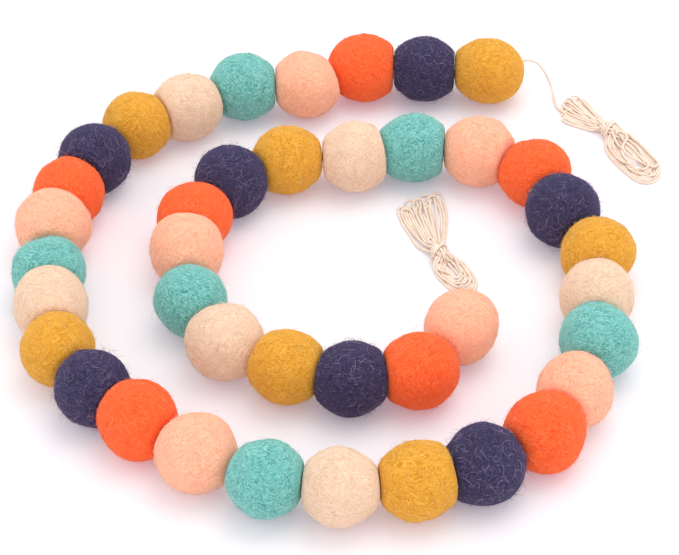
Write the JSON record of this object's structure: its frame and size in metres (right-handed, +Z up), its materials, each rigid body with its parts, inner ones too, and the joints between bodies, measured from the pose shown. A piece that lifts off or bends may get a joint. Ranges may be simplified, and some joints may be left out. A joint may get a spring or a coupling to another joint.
{
  "type": "felt ball garland",
  "caption": "Garland of wool felt balls strung on a thin cord and laid in a loose spiral, with a tied hank of spare cord at each end.",
  "frame": {"origin": "on the resting surface, under the middle of the box round the strung balls", "axes": "+Z up; the spiral's longer side lies along +Y, and the outer end of the string is at +X and +Y"},
  "size_m": [0.2271, 0.24, 0.0246],
  "materials": {
    "felt_mustard": "mustard wool felt, matt, fine fuzzy fibres",
    "felt_navy": "navy wool felt, matt, fine fuzzy fibres",
    "felt_coral": "coral wool felt, matt, fine fuzzy fibres",
    "felt_peach": "peach wool felt, matt, fine fuzzy fibres",
    "felt_teal": "teal wool felt, matt, fine fuzzy fibres",
    "felt_cream": "cream wool felt, matt, fine fuzzy fibres",
    "cord": "cream cotton cord, fine twist, matt"
  },
  "bodies": {
    "root": {"ball_01": "felt_mustard", "ball_02": "felt_navy", "ball_03": "felt_coral", "ball_04": "felt_peach", "ball_05": "felt_teal", "ball_06": "felt_cream", "ball_07": "felt_mustard", "ball_08": "felt_navy", "ball_09": "felt_coral", "ball_10": "felt_peach", "ball_11": "felt_teal", "ball_12": "felt_cream", "ball_13": "felt_mustard", "ball_14": "felt_navy", "ball_15": "felt_coral", "ball_16": "felt_peach", "ball_17": "felt_teal", "ball_18": "felt_cream", "ball_19": "felt_mustard", "ball_20": "felt_navy", "ball_21": "felt_coral", "ball_22": "felt_peach", "ball_23": "felt_teal", "ball_24": "felt_cream", "ball_25": "felt_mustard", "ball_26": "felt_navy", "ball_27": "felt_coral", "ball_28": "felt_peach", "ball_29": "felt_teal", "ball_30": "felt_cream", "ball_31": "felt_mustard", "ball_32": "felt_navy", "ball_33": "felt_coral", "ball_34": "felt_peach", "ball_35": "felt_teal", "ball_36": "felt_cream", "ball_37": "felt_mustard", "ball_38": "felt_navy", "ball_39": "felt_coral", "ball_40": "felt_peach", "string": "cord", "tail_a": "cord", "tail_b": "cord", "hank_a": "cord", "hank_b": "cord"}
  },
  "joints": []
}
